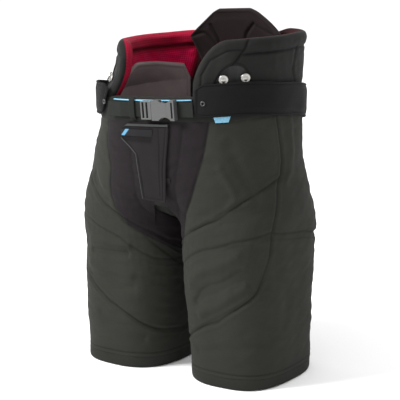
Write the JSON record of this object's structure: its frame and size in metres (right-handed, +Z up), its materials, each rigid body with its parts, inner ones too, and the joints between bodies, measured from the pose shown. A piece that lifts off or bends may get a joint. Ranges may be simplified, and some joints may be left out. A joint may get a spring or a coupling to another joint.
{
  "type": "hockey pants",
  "caption": "Padded ice hockey pants with kidney wings, a spine pad, a buckled waist belt, a hooked fly flap and open thigh-length legs.",
  "frame": {"origin": "middle of the footprint at the floor, under the hems", "axes": "+Z up from the hems to the waist, -Y the way the wearer faces, +X towards the wearer's left"},
  "size_m": [0.4002, 0.2882, 0.6221],
  "materials": {
    "shell_cloth": "matte",
    "stretch_cloth": "matte",
    "flap_cloth": "matte",
    "mesh_lining": "matte",
    "guard_plastic": "satin",
    "pad_foam": "matte",
    "waist_cloth": "matte",
    "blue_trim": "satin",
    "wing_cloth": "matte",
    "red_lining": "matte",
    "comfort_cloth": "matte",
    "spine_cloth": "matte",
    "button_metal": "satin",
    "webbing": "matte",
    "buckle_plastic": "satin",
    "flap_trim": "satin",
    "label_cloth": "satin",
    "touch_tape": "matte"
  },
  "bodies": {
    "trunk": {"hip_shell_left": "shell_cloth", "hip_shell_right": "shell_cloth", "stretch_panel_left": "stretch_cloth", "stretch_panel_right": "stretch_cloth", "hip_guard_left": "guard_plastic", "hip_guard_right": "guard_plastic", "hip_foam_left": "pad_foam", "hip_foam_right": "pad_foam", "seat_shell": "shell_cloth", "tailbone_guard": "guard_plastic", "tailbone_foam": "pad_foam", "fly_facing": "stretch_cloth", "crotch_gusset": "stretch_cloth", "trunk_lining": "mesh_lining", "waistband": "waist_cloth", "waist_padding": "mesh_lining", "waist_piping": "blue_trim", "wing_shell_left": "wing_cloth", "wing_shell_right": "wing_cloth", "wing_guard_left": "guard_plastic", "wing_guard_right": "guard_plastic", "wing_foam_left": "pad_foam", "wing_foam_right": "pad_foam", "wing_lining_left": "red_lining", "wing_lining_right": "red_lining", "arch_gusset_left": "stretch_cloth", "arch_gusset_right": "stretch_cloth", "kidney_pad_left": "comfort_cloth", "kidney_pad_right": "comfort_cloth", "hip_band_left": "wing_cloth", "hip_band_right": "wing_cloth", "band_eyelets": "button_metal", "suspender_buttons": "button_metal", "belt_left": "webbing", "belt_right": "webbing", "belt_loop": "waist_cloth", "buckle_female": "buckle_plastic", "fly_loop_strip": "touch_tape", "side_tag": "blue_trim"},
    "left_leg": {"leg_shell_left": "shell_cloth", "leg_lining_left": "mesh_lining", "thigh_guard_left": "guard_plastic", "thigh_foam_left": "pad_foam", "hem_band_left": "shell_cloth"},
    "right_leg": {"leg_shell_right": "shell_cloth", "leg_lining_right": "mesh_lining", "thigh_guard_right": "guard_plastic", "thigh_foam_right": "pad_foam", "hem_band_right": "shell_cloth"},
    "spine": {"spine_pad": "spine_cloth", "spine_guard": "guard_plastic", "spine_back_cover": "spine_cloth"},
    "fly": {"fly_flap": "flap_cloth", "fly_trim": "flap_trim", "fly_label": "label_cloth", "fly_hook_strip": "touch_tape"},
    "buckle_slider": {"buckle_male": "buckle_plastic"},
    "upper_latch": {"latch_arm_upper": "buckle_plastic"},
    "lower_latch": {"latch_arm_lower": "buckle_plastic"}
  },
  "joints": [
    {"name": "left_hip", "type": "hinge", "parent": "trunk", "child": "left_leg", "pos_m": [0.1, 0.00522, 0.404], "axis": [-1, 0, 0], "range_deg": [-10, 22]},
    {"name": "right_hip", "type": "hinge", "parent": "trunk", "child": "right_leg", "pos_m": [-0.1, 0.00522, 0.404], "axis": [-1, 0, 0], "range_deg": [-10, 22]},
    {"name": "spine_flex", "type": "hinge", "parent": "trunk", "child": "spine", "pos_m": [0.006, 0.10522, 0.493], "axis": [0.996, 0, 0.0896], "range_deg": [0, 12]},
    {"name": "fly_hinge", "type": "hinge", "parent": "trunk", "child": "fly", "pos_m": [0.0355, -0.13328, 0.38], "axis": [0, 0, 1], "range_deg": [0, 65]},
    {"name": "buckle_slide", "type": "slide", "parent": "trunk", "child": "buckle_slider", "axis": [-0.996, 0, -0.0896], "range_m": [0, 0.017]},
    {"name": "upper_latch_squeeze", "type": "hinge", "parent": "buckle_slider", "child": "upper_latch", "pos_m": [0.00572, -0.13978, 0.48502], "axis": [0, 1, 0], "range_deg": [0, 6], "stiffness_Nm_per_rad": 0.05},
    {"name": "lower_latch_squeeze", "type": "hinge", "parent": "buckle_slider", "child": "lower_latch", "pos_m": [0.00787, -0.13978, 0.46112], "axis": [0, -1, 0], "range_deg": [0, 6], "stiffness_Nm_per_rad": 0.05}
  ]
}
